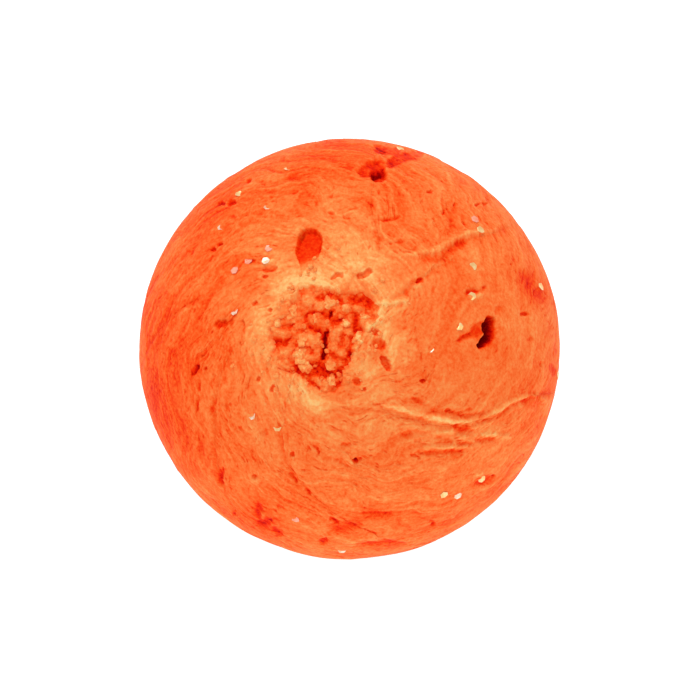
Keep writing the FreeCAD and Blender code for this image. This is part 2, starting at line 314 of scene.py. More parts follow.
def spline(knots, values, at):
    """A natural cubic spline: its second derivatives solve a tridiagonal system, and are 0 at both ends."""
    knots, values = np.asarray(knots, float), np.asarray(values, float)
    steps = np.diff(knots)
    system = np.eye(len(knots))
    bends = np.zeros(len(knots))
    for i in range(1, len(knots) - 1):
        system[i, i - 1:i + 2] = steps[i - 1], 2 * (steps[i - 1] + steps[i]), steps[i]
        bends[i] = 6 * ((values[i + 1] - values[i]) / steps[i] - (values[i] - values[i - 1]) / steps[i - 1])
    bends = np.linalg.solve(system, bends)
    i = np.clip(np.searchsorted(knots, at) - 1, 0, len(steps) - 1)
    a, b, step = knots[i + 1] - at, at - knots[i], steps[i]
    return ((bends[i] * a ** 3 + bends[i + 1] * b ** 3) / (6 * step)
            + (values[i] / step - bends[i] * step / 6) * a
            + (values[i + 1] / step - bends[i + 1] * step / 6) * b)


def line_share(across, up, line, reach):
    """The spots within reach of a smooth line, how far off it each is, and how far along it, 0 to 1."""
    line = np.array(line, float)
    if len(line) > 2:
        walk = np.append(0, np.cumsum(np.hypot(*np.diff(line, axis=0).T)))
        steps = np.linspace(0, walk[-1], 4 * len(line))
        line = np.stack([spline(walk, line[:, 0], steps), spline(walk, line[:, 1], steps)], axis=-1)
    low, high = line.min(0) - reach, line.max(0) + reach
    near = np.flatnonzero((across > low[0]) & (across < high[0]) & (up > low[1]) & (up < high[1]))
    spots = np.stack([across[near], up[near]], axis=-1)
    best, share = np.full(len(near), 9.0), np.zeros(len(near))
    for i in range(len(line) - 1):
        way = line[i + 1] - line[i]
        along = np.clip((spots - line[i]) @ way / (way @ way), 0, 1)
        away = np.hypot(*(spots - line[i] - along[:, None] * way).T)
        share = np.where(away < best, (i + along) / (len(line) - 1), share)
        best = np.minimum(best, away)
    return near, best, share


def bed_relief(across, up):
    """Height of the bed's lumps and slits over its floor, at flat arrays of places.

    A lump is a dome, 1 - x^2 of the distance over its radius, and a slit's section is exp(-x^2) round a
    smooth line. Where two of them meet, the higher lump or the deeper slit shows.
    """
    lump, slit = np.zeros(len(across)), np.zeros(len(across))
    for x, y, radius, drop in bed_lumps:
        dome = np.clip(1 - ((across - x) ** 2 + (up - y) ** 2) / (1.25 * radius) ** 2, 0, 1)
        lump = np.maximum(lump, (bed_drop - drop + 0.15) * dome)
    for width, depth, *line in bed_slits:
        near, away, share = line_share(across, up, line, 2.5 * width)
        slit[near] = np.minimum(slit[near], -depth * np.exp(-(away / width) ** 2))
    return lump, slit


rows, columns = 180, 520
ring = np.linspace(0, 1, rows)[:, None] ** 0.85 * bed_reach + np.zeros(columns)
clock = np.linspace(0, 360, columns, endpoint=False) + np.zeros((rows, 1))
towards = direction(np.degrees(np.arcsin(ring / ball_radius)), clock)
spots = towards * ball_radius
wobble = [0.26 * noise(spots / 0.9, 21 + i) + 0.16 * noise(spots / 0.3, 24 + i) for i in range(2)]
lump, slit = bed_relief((spots[..., 0] + wobble[0]).ravel(), (spots @ front_up + wobble[1]).ravel())
lump, slit = lump.reshape(rows, columns), slit.reshape(rows, columns)
bumps = cauliflower(spots, 31)
height = 0.8 * lump + 0.34 * slit + 0.50 * (bumps - usual_nodule) + 0.08 * noise(spots / 0.2, 33) - bed_drop
# Near its edge the bed comes up to the folds, and past it it dives under them
past = ring - outline_distance(clock)
brim = np.clip(1 + past, 0, 1) ** 2
height = height + (bed_drop - 0.06) * brim - 1.5 * np.clip(past / 0.9, 0, 1)
points = middle + towards * (ball_radius + height)[..., None]
# painted light on the lumps and the nodules' tops, painted shade in the slits and between the nodules; paler
# again near the bed's edge
tone = 0.47 + 0.46 * lump + 0.42 * slit + 0.56 * (bumps - usual_nodule)
tone = tone + 0.14 * noise(spots / 0.45, 34) + 0.14 * brim
points = np.concatenate([points.reshape(-1, 3), middle + crater_axis[None] * (core_radius - 0.5)])
last_ring = [(rows - 1) * columns + i for i in range(columns)]
faces = [face[::-1] for face in grid_faces(rows, columns, True)]
faces.append(list(range(columns)))
faces += [[last_ring[i], rows * columns, last_ring[i - 1]] for i in range(columns)]
# Flour and oil that clumped but never smeared, so the paste breaks up into nodules
crumbly_paste = paste_material("crumbly_bait_paste", 0.13, 0.32, 0.14, 0.030, 0.62)
crumb_bed = add_piece("crumb_bed_paste", points, faces, crumbly_paste, tone=np.append(tone.ravel(), 0.2))
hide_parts("crumb_bed")


# Large crumbs: the lumps that stand up in the crater, each a pinch of paste that broke off whole.
# They are rough balls of nodules, stuck to the bed by their own oil.
def knobbly_balls(centres, radii, stretches, detail, seed):
    """Crumbs as balls of rings and spokes: radius times (0.9 + relief), stretched along three axes.

    The relief is half the cauliflower's height over the radius, plus two sizes of noise. Each crumb has
    its own random turn and its own place in the noise, so that no two look alike.
    """
    rings, spokes = detail
    lean = np.linspace(0, math.pi, rings + 2)[1:-1, None] + np.zeros(spokes)
    turn = np.linspace(0, 2 * math.pi, spokes, endpoint=False) + np.zeros((rings, 1))
    body = np.stack([np.sin(lean) * np.cos(turn), np.sin(lean) * np.sin(turn), np.cos(lean)], axis=-1)
    unit = np.concatenate([body.reshape(-1, 3), [[0, 0, 1], [0, 0, -1]]])
    count, top, bottom = len(unit), rings * spokes, rings * spokes + 1
    faces = [face[::-1] for face in grid_faces(rings, spokes, True)]
    faces += [[top, i, (i + 1) % spokes] for i in range(spokes)]
    faces += [[bottom, top - spokes + (i + 1) % spokes, top - spokes + i] for i in range(spokes)]
    turns = np.linalg.qr(np.random.default_rng(seed).normal(size=(len(centres), 3, 3)))[0]
    turns *= np.sign(np.linalg.det(turns))[:, None, None]
    rough = unit[None] * radii[:, None, None]
    place = rough + 7.0 * np.arange(len(centres))[:, None, None]
    shape = cauliflower(place, seed)
    lobes = 0.34 * noise(place / (0.8 * radii[:, None, None]), seed + 9)
    lobes += 0.20 * noise(place / (0.35 * radii[:, None, None]), seed + 10)
    relief = 0.50 * (shape - usual_nodule) / np.maximum(radii[:, None], 0.40) + lobes
    grown = rough * (0.90 + relief[..., None]) * stretches[:, None]
    points = centres[:, None] + np.einsum("nij,nvj->nvi", turns, grown)
    every = [[count * i + v for v in face] for i in range(len(centres)) for face in faces]
    return points.reshape(-1, 3), every, shape.ravel()


draw = np.random.default_rng(41)
# Across, up, radius and how far the top lies below the ball's surface
large_places = np.array([
    (-4.35, 1.05, 0.85, 0.06), (-4.75, -0.35, 0.58, 0.04), (-4.60, -1.05, 0.62, 0.02),
    (-4.25, -1.70, 0.50, 0.06), (-2.00, 4.40, 0.60, 0.02), (-3.15, 2.85, 0.50, 0.20),
    (-0.35, 2.40, 0.48, 0.05), (-0.30, 3.90, 0.46, 0.08), (-5.40, 3.00, 0.55, 0.05),
    (-5.30, 4.00, 0.50, 0.05), (-6.90, 2.40, 0.48, 0.05), (-1.75, -1.50, 0.46, 0.12),
    (-1.80, -3.00, 0.46, 0.08), (-4.35, -3.30, 0.45, 0.05), (0.90, 1.00, 0.50, -0.02),
    (1.45, 3.00, 0.42, 0.08),
])
large_radii, drop = large_places[:, 2], large_places[:, 3]
outwards = front_direction(large_places[:, 0], large_places[:, 1])
large_points, faces, bumps = knobbly_balls(
    middle + outwards * (ball_radius - drop - large_radii)[:, None], large_radii,
    draw.uniform(0.80, 1.25, (16, 3)), (44, 70), 42)
rise = np.linalg.norm(large_points - middle, axis=1) - ball_radius
# painted light where a crumb stands higher and on its nodules, painted shade in the creases between them
large_crumbs = add_piece("large_crumbs_paste", large_points, faces, crumbly_paste,
                         tone=0.74 + 0.55 * rise + 0.60 * (bumps - usual_nodule))
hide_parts("large_crumbs")


# Small crumbs: loose bits that lie between and on the lumps, up to the crater's lip.
# They are the same paste, rubbed off while the ball was kneaded.
count = 30
share, turn = draw.uniform(0, 1, count) ** 0.6, draw.uniform(0, 360, count)
polar = np.degrees(np.arcsin(outline_distance(turn) * share / ball_radius))
outwards = direction(polar, turn)
radii = draw.uniform(0.12, 0.27, count)
sunk = radii + draw.uniform(0.05, 0.35, count)
small_points, faces, bumps = knobbly_balls(
    middle + outwards * (ball_radius - sunk)[:, None], radii,
    draw.uniform(0.7, 1.4, (count, 3)), (14, 22), 43)
rise = np.linalg.norm(small_points - middle, axis=1) - ball_radius
# painted light where a crumb stands higher and on its nodules, painted shade in the creases between them
small_crumbs = add_piece("small_crumbs_paste", small_points, faces, crumbly_paste,
                         tone=0.60 + 0.30 * rise + 0.60 * (bumps - usual_nodule))
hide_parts("small_crumbs")


# Folds: six tongues of well-kneaded paste, pulled round the core by the thumb and left to meet at
# the crater. Kneading smeared them into strands that follow the pull, with pinholes drawn out along it.
kneaded_paste = paste_material("kneaded_bait_paste", 0.10, 0.28, 0.12, 0.020, 0.55)
# Seams as (polar, clock) from the crater out. Each is named for the fold that lies clockwise of it.
seam_after = {
    "lower_fold": [(8, -78), (18, -68), (24, -51), (38, -34), (52, -21), (66, -10), (90, -5), (124, 2)],
    "right_fold": [(8, 38), (18, 38), (29, 39), (42, 44), (64, 43), (90, 44), (124, 48)],
    "upper_right_fold": [(8, 76), (17, 73), (28, 67), (37, 77), (50, 83), (72, 90), (95, 102), (124, 118)],
    "upper_left_fold": [(8, 130), (17, 135), (27, 142), (32, 156), (44, 172), (62, 186), (90, 197),
                        (124, 207)],
    "left_fold": [(8, 176), (17, 181), (25, 190), (34, 209), (47, 227), (64, 241), (90, 251), (124, 260)],
    "lower_left_fold": [(8, 238), (18, 244), (27, 250), (37, 258), (50, 273), (66, 287), (90, 299),
                        (124, 308)],
}
tucked_folds = ("right_fold", "upper_left_fold", "lower_left_fold")
# How plainly each seam shows, from 0 where the thumb smeared it over to 1
seam_strength = {
    "lower_fold": 0.8, "right_fold": 0.5, "upper_right_fold": 0.30, "upper_left_fold": 0.35,
    "left_fold": 0.25, "lower_left_fold": 0.30,
}
skin_half_angle = 62.0    # the smooth skin on the far side starts this far from its own middle
right_pit = (13.0, 1.6)   # the deepest pit, with strands curled round it

# Marks on the front. Creases and ridges are soft lines: width, lift, then points as across and up.
# A lift below 0 presses the paste in. The lift also sets the tone: painted light along a ridge, painted shade
# in a crease.
soft_marks = [
    (0.24, 0.30, (3, -5.3), (5, -5.7), (8, -6.5), (10.5, -6.85), (12.5, -6.45), (14.5, -5.4),
     (16.3, -4.55), (18, -4.35)),
    (0.20, 0.16, (18.2, -4.5), (18.6, -5.1), (18.4, -6.4)),
    (0.30, -0.22, (7.6, -6.0), (9.6, -6.1), (11.6, -6.35), (13.0, -5.9)),
    (0.34, -0.34, (9.7, -7.3), (10.6, -7.65), (11.5, -7.55)),
    (0.20, -0.20, (12.0, -7.0), (13.5, -6.55), (15.2, -5.6)),
    (0.45, -0.22, (16.2, -5.0), (17.3, -5.0), (18.2, -5.2)),
    (0.24, -0.28, (11.8, -8.7), (12.8, -8.6), (13.7, -8.45)), (0.22, 0.14, (10.0, -8.1), (11.2, -8.3)),
    (0.22, 0.16, (12.4, -8.15), (13.8, -8.1), (15.3, -8.4)), (0.20, -0.22, (10.2, -8.95), (11.5, -8.9)),
    (0.26, -0.18, (8.1, -8.4), (9.6, -8.55)), (0.26, -0.28, (6.1, -9.85), (8.3, -9.75), (10.7, -9.7)),
    (0.20, 0.12, (6.2, -9.3), (9.0, -9.2), (11.5, -9.3)), (0.14, -0.20, (5.7, -9.9), (6.7, -10.4)),
    (0.30, -0.30, (11.9, -12.85), (12.8, -12.55), (13.8, -12.0)),
    (0.30, 0.16, (11.8, -12.0), (12.6, -11.6)), (0.30, -0.18, (1.1, -15.4), (2.6, -15.45), (4.1, -15.65)),
    (0.24, -0.30, (-1.9, -15.95), (-1.5, -16.2), (-1.1, -16.7)),
    (0.50, -0.22, (-2.2, -17.4), (-0.6, -16.9), (1.2, -16.6)), (0.30, -0.34, (-2.9, -18.35), (-2.0, -18.2)),
    (0.28, -0.22, (0.4, -18.6), (2.6, -18.45), (5.2, -18.3)),
    (0.26, 0.14, (-0.6, -18.3), (1.2, -18.05), (3.2, -17.7)), (0.18, -0.18, (2.2, -5.25), (3.2, -5.4)),
    (0.22, -0.24, (5.8, -4.7), (6.5, -4.9), (7.2, -5.3)), (0.30, -0.16, (4.6, -8.05), (6.0, -8.0)),
    (0.22, -0.26, (-0.8, -9.1), (0.2, -9.0)), (0.20, -0.26, (0.3, -10.6), (1.2, -10.4)),
    (0.20, -0.16, (-1.4, -10.4), (0.1, -11.1)),
    (0.55, -0.20, (16.3, 7.4), (17.2, 6.3), (18.0, 5.2), (18.6, 4.5)),
    (0.16, -0.22, (17.1, 0.7), (17.35, 1.2)), (0.16, -0.22, (18.1, -1.6), (18.3, -1.1)),
    (0.26, -0.40, (10.1, 0.75), (10.7, 1.0), (11.5, 1.5)), (0.28, -0.30, (11.0, 5.35), (12.0, 5.45)),
    (0.22, 0.16, (11.1, 4.95), (12.6, 5.2)), (0.14, -0.30, (12.5, 5.75), (12.9, 5.85)),
    (0.24, -0.14, (13.9, 3.2), (14.0, 4.0)), (0.20, -0.14, (6.3, 1.1), (6.5, 0.1)),
    (0.16, -0.16, (5.5, -0.1), (5.7, -1.0)), (0.20, -0.16, (6.1, 6.3), (6.6, 6.45), (7.0, 6.6)),
    (0.24, 0.16, (5.8, 5.8), (6.8, 5.95)), (0.32, -0.24, (5.1, 5.2), (5.5, 5.3)),
    (0.24, 0.22, (7.2, 7.0), (7.6, 7.7), (8.4, 8.0)), (0.22, 0.18, (2.2, 4.2), (4.0, 4.35), (5.6, 4.6)),
    (0.26, 0.17, (4.5, 8.6), (6.0, 9.0), (8.2, 9.4), (9.6, 10.2), (11.0, 10.85), (12.4, 11.0),
     (13.8, 11.25)),
    (0.42, -0.18, (9.3, 9.4), (10.2, 9.75), (11.3, 10.2)), (0.40, -0.20, (6.8, 8.4), (8.3, 8.7)),
    (0.30, -0.14, (9.9, 13.6), (9.7, 12.4), (9.6, 11.0)), (0.18, -0.30, (8.7, 12.7), (9.1, 13.1)),
    (0.26, -0.24, (2.3, 11.2), (2.5, 10.6), (3.3, 10.4)), (0.20, -0.20, (3.9, 9.95), (5.2, 10.2)),
    (0.16, -0.26, (2.7, 12.2), (3.8, 12.3), (4.8, 12.5)), (0.16, -0.24, (-1.9, 14.35), (-1.5, 14.55)),
    (0.14, -0.22, (-2.0, 12.95), (-1.3, 12.8)), (0.14, -0.20, (-0.7, 12.5), (0.1, 12.3)),
    (0.12, -0.12, (-2.80, 10.2), (-2.80, 9.6), (-2.90, 9.0)), (0.24, -0.20, (-5.9, 16.2), (-4.9, 16.45)),
    (0.26, -0.26, (2.5, 19.1), (3.5, 18.75)), (0.22, -0.34, (-8.1, 7.35), (-7.4, 7.55), (-6.8, 7.75)),
    (0.18, -0.20, (-9.7, 8.25), (-8.9, 8.4)), (0.20, 0.12, (-8.6, 8.2), (-7.0, 8.3)),
    (0.22, -0.20, (-11.2, 2.3), (-11.1, 2.9)), (0.26, -0.36, (-14.95, -2.4), (-14.6, -1.9), (-14.35, -1.4)),
    (0.16, -0.24, (-13.6, -2.0), (-13.5, -1.6)), (0.18, -0.22, (-10.15, 2.8), (-10.0, 2.2), (-10.0, 1.5)),
    (0.18, -0.18, (-14.2, -2.9), (-14.25, -4.0)), (0.14, -0.18, (-14.3, -4.3), (-14.4, -5.9)),
    (0.20, -0.22, (-12.8, -4.4), (-12.85, -5.3), (-13.1, -6.2)),
    (0.24, -0.28, (-12.0, -11.1), (-12.2, -12.0), (-12.2, -12.9)),
    (0.14, -0.26, (-9.3, -12.05), (-8.8, -12.0)), (0.22, 0.16, (-9.4, -12.4), (-8.4, -12.35)),
    (0.34, -0.24, (-8.6, -14.6), (-8.6, -15.3), (-8.5, -15.9)),
    (0.46, -0.26, (-8.7, -16.65), (-8.1, -16.5), (-7.4, -16.4)),
    (0.40, 0.20, (-8.3, -15.95), (-8.0, -15.6)), (0.34, -0.24, (-7.3, -17.0), (-6.4, -17.6)),
    (0.18, -0.30, (-11.2, -15.75), (-10.8, -15.65)),
    (0.16, -0.26, (-5.8, -11.75), (-5.4, -12.0), (-5.0, -12.6)),
    (0.16, -0.24, (-4.1, -13.2), (-3.7, -13.8)), (0.14, -0.28, (-3.5, -9.1), (-3.1, -9.4), (-2.9, -9.9)),
    (0.18, -0.16, (-5.8, -7.8), (-5.8, -8.6)), (0.24, -0.20, (-8.0, -7.6), (-7.9, -8.2)),
]
# Holes have steep sides: radius, depth, then points, and painted shade darkens each one inside. The two deep
# pits and the dent lie within about half a millimetre of where the CAD part has them.
steep_marks = [
    (0.33, 2.07, (13.3, 2.7), (13.35, 1.8), (13.1, 1.0), (12.6, 0.5)),
    (0.52, 0.17, (12.5, 2.1), (12.1, 1.9), (12.0, 1.5)), (0.22, 0.50, (12.95, 2.3), (12.9, 1.3)),
    (0.50, 0.79, (2.55, 16.55), (3.0, 16.6)), (0.58, 0.27, (1.5, 16.9), (2.2, 17.25), (2.7, 17.3)),
    (0.40, 0.18, (3.9, 17.6), (4.6, 18.0), (5.6, 18.3), (6.6, 18.6)),
    (0.34, 0.12, (2.6, 19.05), (3.6, 18.85), (4.5, 18.75)), (0.32, 0.20, (-12.4, 2.3), (-11.9, 2.4)),
    (0.38, 0.27, (2.6, 0.5), (3.1, 0.35)), (0.28, 0.49, (3.2, -0.95), (3.45, -1.45), (3.65, -1.8)),
    (0.30, 0.30, (2.3, 1.7), (2.5, 1.5)), (0.26, 0.37, (1.0, 6.95), (1.5, 7.05), (1.75, 7.3)),
    (0.22, 0.23, (-1.5, 6.7), (-1.2, 6.9), (-0.8, 6.95)), (0.22, 0.30, (-11.3, 13.85), (-11.0, 13.95)),
    (0.16, 0.20, (-12.3, 13.8), (-12.0, 13.85)), (0.16, 0.23, (-9.65, 15.95), (-9.5, 16.05)),
    (0.16, 0.23, (-12.95, 9.35), (-12.8, 9.45)), (0.14, 0.20, (-12.35, 9.85), (-12.25, 9.95)),
    (0.20, 0.11, (6.5, 6.35), (6.8, 6.5)), (0.17, 0.27, (7.45, 14.85), (7.65, 14.9)),
    (0.16, 0.23, (12.05, 13.7), (12.15, 13.75)), (0.17, 0.27, (12.8, 13.75), (12.9, 13.8)),
    (0.20, 0.23, (6.85, -2.95), (6.95, -3.0)), (0.18, 0.23, (16.5, 3.35), (16.75, 3.35)),
    (0.14, 0.23, (7.9, -16.65), (8.0, -16.65)), (0.20, 0.27, (0.55, -10.6), (0.6, -10.65)),
    (0.18, 0.23, (-5.5, -9.9), (-5.4, -9.95)), (0.20, 0.23, (-7.3, -3.75), (-7.2, -3.55)),
    (0.16, 0.20, (-8.6, -2.9), (-8.55, -2.65)), (0.30, 0.30, (0.6, -3.0), (0.85, -3.1)),
    (0.16, 0.17, (1.2, -3.85), (1.4, -3.8)), (0.18, 0.20, (-8.95, 4.35), (-8.85, 4.4)),
    (0.17, 0.20, (-7.5, 3.7), (-7.45, 3.75)), (0.18, 0.20, (-8.1, 6.8), (-8.0, 6.85)),
    (0.30, 0.06, (19.2, -1.7), (19.5, -2.3)), (0.2, 0.20, (9.3, -5.75), (9.35, -5.8)),
    (0.13, 0.17, (13.7, -12.05), (13.75, -12.0)),
]
# Pits on the sides and back, as polar, clock, radius and depth; each is darkened inside with painted shade
far_pits = [
    (108.0, -70.0, 0.70, 1.4), (98.0, 150.0, 0.55, 1.1), (102.0, 20.0, 0.60, 1.2), (92.0, 228.0, 0.45, 0.9),
    (142.0, 60.0, 0.80, 1.6), (150.0, 170.0, 0.55, 1.0), (136.0, 300.0, 0.50, 0.9),
]
# The dent that a stick left over the crater: it goes in steeply at the top and comes up towards the crater
dent_line = ((-3.72, 10.25), (-4.00, 8.95), (-4.50, 7.15))
dent_radius, dent_depth = 1.10, 0.60
# Places where the paste holds more or less dye, and dark patches near the outline on the left, top and bottom
# that are painted shade: across, up, reach and tone
dye_stains_and_painted_shade = [
    (-9.0, 11.0, 7.0, 0.03), (3.0, 14.5, 5.0, 0.03), (-5.5, 6.3, 1.5, 0.12), (-3.0, 6.6, 1.3, 0.14),
    (-1.1, 6.2, 0.8, 0.12), (0.6, 7.6, 1.4, 0.10), (-0.8, 8.4, 1.3, 0.10), (3.4, 1.3, 1.0, 0.14),
    (2.7, 3.4, 1.1, 0.10), (-3.0, -4.9, 1.1, 0.14), (-4.5, -3.9, 0.8, 0.14), (-8.2, -0.3, 0.8, 0.12),
    (-7.5, 3.7, 1.2, 0.10), (-6.4, 5.1, 1.0, 0.12), (2.0, 6.6, 1.0, 0.10), (1.4, -1.9, 1.0, 0.08),
    (4.4, -0.3, 1.3, 0.07), (-9.3, 6.3, 0.9, -0.12), (-12.0, 0.0, 4.0, -0.04), (-13.0, -9.0, 5.0, -0.06),
    (-12.0, 12.0, 4.5, -0.05), (3.5, 17.0, 3.5, -0.08), (18.0, 5.0, 2.2, -0.12), (-8.0, -16.5, 2.0, -0.10),
    (-19.5, 5.0, 3.5, -0.12), (-19.0, -6.0, 3.5, -0.14), (-1.5, 19.0, 3.0, -0.12),
    (-12.5, 14.0, 4.0, -0.12), (-0.3, 11.0, 3.0, 0.13), (2.2, 8.8, 2.6, 0.12), (-8.0, -6.0, 4.5, 0.11),
    (4.2, -2.2, 2.6, 0.14), (1.5, -8.0, 4.5, 0.09), (11.0, -7.0, 4.5, 0.09), (3.5, 2.5, 2.5, 0.10),
    (-3.2, 8.6, 0.8, -0.05), (-18.5, 0.0, 4.0, -0.13), (-16.0, -10.0, 3.5, -0.10),
    (-9.0, -17.5, 3.5, -0.08), (-16.0, 9.5, 3.0, -0.08), (-5.0, 18.5, 3.0, -0.10), (-9.0, 9.0, 2.0, 0.09),
    (3.2, 1.5, 1.5, 0.08), (16.0, 3.0, 2.5, 0.07),
]


def noise_along(places, seed):
    """Noise along a line: the gradient noise with its other two coordinates at a half."""
    half = np.full_like(places, 0.5)
    return noise(np.stack([places, half, half], axis=-1), seed)


def seam_clock(name, polar):
    """Where a seam lies at each polar angle: the spline through its points, plus a ragged edge."""
    polars, clocks = np.array(seam_after[name], float).T
    key = 60 + list(seam_after).index(name)
    rag = 1.1 * noise_along(polar / 5.0, key) + 0.5 * noise_along(polar / 1.4, key + 10)
    return spline(polars, clocks, polar) + rag / np.sin(np.radians(polar)) * 0.6


def skin_edge(clock):
    """Where the folds end and the far side's skin starts: a wavy ring about the crater's axis."""
    ring = np.stack([np.cos(np.radians(clock)), np.sin(np.radians(clock)), np.ones_like(clock)], axis=-1)
    return 180 - skin_half_angle + 3.0 * noise(ring * 1.6, 51) + 1.2 * noise(ring * 6.0, 52)


def crater_edge(clock):
    """Where the crater's lip lies, as a polar angle."""
    return np.degrees(np.arcsin(outline_distance(clock) / ball_radius))


def front_marks(directions):
    """Height and tone of every mark on the front, with painted light and painted shade in the tone, and how
    much of the strands is left there.

    A soft mark's section is exp(-x^2), tapered at both ends, and a steep one's 1 / (1 + x^8), over its
    own smooth line. The dent's is 1 / (1 + x^36), and its width and depth shrink along its line.
    """
    spots = directions * ball_radius
    shift = [0.13 * noise(spots / 0.9, 71 + i) + 0.10 * noise(spots / 0.33, 73 + i) for i in range(2)]
    facing = spots @ front
    across, up = spots[:, 0] + shift[0], spots @ front_up + shift[1]
    across = np.where(facing > 0.5, across, 99)
    dent_across, dent_up = across - 0.9 * shift[0], up - 0.9 * shift[1]
    height, tone = np.zeros(len(spots)), np.zeros(len(spots))
    press = 0.7           # a crease is shallower than its shade says
    for width, lift, *line in soft_marks:
        near, away, share = line_share(across, up, line, 3 * width)
        taper = 0.35 + 0.65 * np.sqrt(np.clip(1 - (2 * share - 1) ** 4, 0, 1))
        bump = lift * taper * np.exp(-(away / (width * taper)) ** 2)
        height[near] += bump if lift > 0 else press * bump
        # painted light along a ridge and painted shade in a crease, deeper than the crease itself
        tone[near] += bump
    for radius, depth, *line in steep_marks:
        near, away, share = line_share(across, up, line, 2.5 * radius)
        height[near] -= depth / (1 + (away / radius) ** 8)
        # painted shade inside the hole, reaching a little past its edge, and a faint paler ring just outside
        # it
        dark_radius = (1.05 + 0.12 * depth) * radius
        tone[near] -= min(0.70, 0.22 + 0.23 * depth) / (1 + (away / dark_radius) ** 8)
        tone[near] += 0.05 * np.exp(-((away - 1.6 * radius) / (0.35 * radius)) ** 2)
    near, away, share = line_share(dent_across, dent_up, dent_line, 2 * dent_radius)
    ease = np.clip((share - 0.35) / 0.65, 0, 1)
    radius = dent_radius * (1 - 0.88 * ease * ease * (3 - 2 * ease))
    hole = 1 / (1 + (away / radius) ** 36)
    # Its floor comes up first on the right, and last along its left side
    (start_across, _), _, (end_across, _) = dent_line
    aside = (dent_across[near] - start_across - (end_across - start_across) * share) / dent_radius
    floor = np.clip((0.84 - share - 0.35 * aside) / 0.30, 0.12, 1)
    height[near] -= dent_depth * (1 - share) ** 0.9 * floor * hole
    # painted shade in the dent, strongest where its floor has not yet come up
    tone[near] -= 0.32 * floor / (1 + (away / (1.08 * radius)) ** 36)
    strands_left = np.ones(len(spots))
    strands_left[near] -= 0.9 * hole
    # dye stains, and painted shade near the outline on the left, top and bottom
    for x, y, reach, shade in dye_stains_and_painted_shade:
        tone += shade * np.exp(-((across - x) ** 2 + (up - y) ** 2) / reach ** 2)
    # On the ball's outline, as the front is seen, marks are worn smooth
    worn = np.clip(facing / (0.45 * ball_radius), 0, 1)
    return height * worn, tone * (0.45 + 0.55 * worn), strands_left


def far_marks(directions):
    """Height and painted shade of the pits on the sides and back: 1 / (1 + x^8) of the ragged distance from
    each.
    """
    height, tone = np.zeros(len(directions)), np.zeros(len(directions))
    ragged = 1 + 0.2 * noise(directions * ball_radius / 0.6, 95)
    for pit_polar, pit_clock, radius, depth in far_pits:
        pit = direction(np.array(pit_polar), np.array(pit_clock))
        away = np.linalg.norm(directions - pit, axis=1) * ball_radius
        hole = 1 / (1 + (away * ragged / radius) ** 8)
        height -= 0.8 * depth * hole
        # painted shade in the pit
        tone -= 0.30 * hole
    return height, tone


def strands(polar, clock, directions, width, aspect, seed):
    """Noise drawn out along the kneading: log spirals round the crater, and circles round the deepest pit.

    Across the strands it counts ln(polar) - clock / spiral, along them ln(polar) / spiral + clock, both
    divided so that a strand is this wide in millimetres. Near the pit it counts the distance from the
    pit across the strands, and the turn round it along them. The two are blended by the distance.
    """
    spiral = 2.1
    p, c = np.radians(np.clip(polar, 6, 179)), np.radians(clock)
    total, weights = np.zeros_like(p), np.zeros_like(p)
    for octave in range(8):
        count = 4.0 * 1.6 ** octave
        local = ball_radius * np.sin(p) / (count * math.sqrt(1 + 1 / spiral ** 2)) + 1e-6
        weight = np.exp(-(np.log(local / width) / 0.45) ** 2)
        if weight.max() > 0.02:
            place = np.stack([(np.log(p) - c / spiral) * count, (np.log(p) / spiral + c) * count / aspect,
                              np.full_like(p, octave * 3.7)], axis=-1)
            total += weight * noise(place, seed + octave)
            weights += weight
    main = total / np.maximum(np.sqrt(weights), 0.4)
    pit = front_direction(*right_pit)
    side = np.cross(front_up, pit)
    side /= np.linalg.norm(side)
    away = ball_radius * np.arccos(np.clip(directions @ pit, -1, 1))
    turn = np.arctan2(directions @ np.cross(pit, side), directions @ side)
    ring = 4.5 / (aspect * width)
    place = np.stack([away / width, ring * np.cos(turn), ring * np.sin(turn)], axis=-1)
    near_pit = np.exp(-(away / 6.0) ** 4)
    return main * (1 - near_pit) + 0.6 * noise(place, seed + 20) * near_pit


def kneaded(directions, polar, clock, seed):
    """Height and tone of kneaded paste: strands in three widths, thin crests and drawn-out pinholes, with
    painted light on raised strands and crests and painted shade in pinholes and dashes.
    """
    spots = directions * ball_radius
    bend = [1.7 * noise(spots / 5.0, seed + i) + 0.42 * noise(spots / 1.5, seed + 3 + i) for i in range(2)]
    slope = 180 / math.pi / ball_radius
    p = polar + bend[0] * slope
    c = clock + bend[1] * slope / np.maximum(np.sin(np.radians(polar)), 0.1)
    broad = strands(p, c, directions, 1.7, 5.0, seed + 100)
    thin = strands(p, c, directions, 0.55, 7.0, seed + 200)
    fine = strands(p, c, directions, 0.26, 8.0, seed + 300)
    holes = strands(p, c, directions, 0.24, 3.0, seed + 400)
    dashes = strands(p, c, directions, 0.17, 5.0, seed + 500)
    patch = noise(spots / 3.2, seed + 9)
    crest = np.clip(1 - 4.5 * np.abs(broad), 0, 1) ** 2
    pin = np.clip((holes - 0.42 - 0.14 * patch) / 0.22, 0, 1)
    pin = pin * pin * (3 - 2 * pin)
    dash = np.clip((dashes - 0.26 - 0.10 * patch) / 0.25, 0, 1)
    height = (0.07 * broad + 0.05 * crest + 0.030 * thin + 0.016 * fine - 0.08 * pin - 0.03 * dash
              + 0.06 * noise(spots / 7, 77))
    # painted light on raised strands and crests, painted shade in pinholes and dashes; the patches and fine
    # noise are the paste's own tone
    tone = (0.08 * broad + 0.08 * crest + 0.10 * thin + 0.09 * fine - 0.14 * pin - 0.12 * dash + 0.06 * patch
            + 0.08 * noise(spots / 0.5, seed + 12) + 0.02)
    return height, tone


